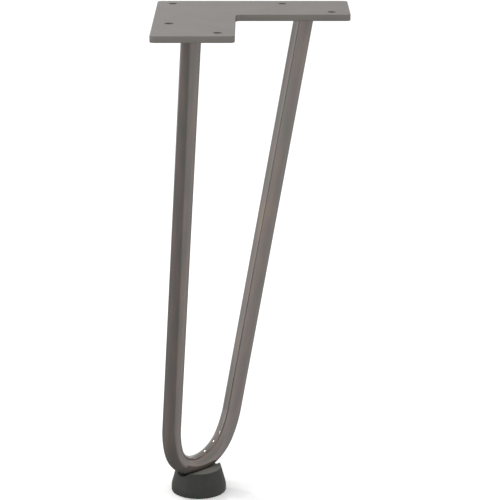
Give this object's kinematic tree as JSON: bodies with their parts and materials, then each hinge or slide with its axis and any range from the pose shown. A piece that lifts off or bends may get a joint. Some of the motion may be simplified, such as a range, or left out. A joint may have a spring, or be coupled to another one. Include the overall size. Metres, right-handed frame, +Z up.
{
  "type": "hairpin table leg",
  "caption": "Hairpin table leg: a round steel tube bent into a narrow leaning U, welded under an L-shaped screw plate, with a rubber foot on the bend.",
  "frame": {"origin": "on the plate's top face, which lies against the table, straight above the bend's lowest point", "axes": "+X along the rear arm of the plate, -Y along the front arm, +Z up out of the mounting face"},
  "size_m": [0.15, 0.15, 0.405],
  "materials": {
    "plate_steel": "rolled sheet, clear lacquered",
    "tube_steel": "drawn tube, clear lacquered, semi-gloss",
    "weld_steel": "rippled weld, clear lacquered",
    "foot_rubber": "moulded, matt",
    "zinc_steel": "zinc plated"
  },
  "bodies": {
    "root": {"mounting_plate": "plate_steel", "hairpin_tube": "tube_steel", "front_weld_bead": "weld_steel", "rear_weld_bead": "weld_steel", "rubber_foot": "foot_rubber", "foot_washer": "zinc_steel", "foot_screw": "zinc_steel"}
  },
  "joints": []
}
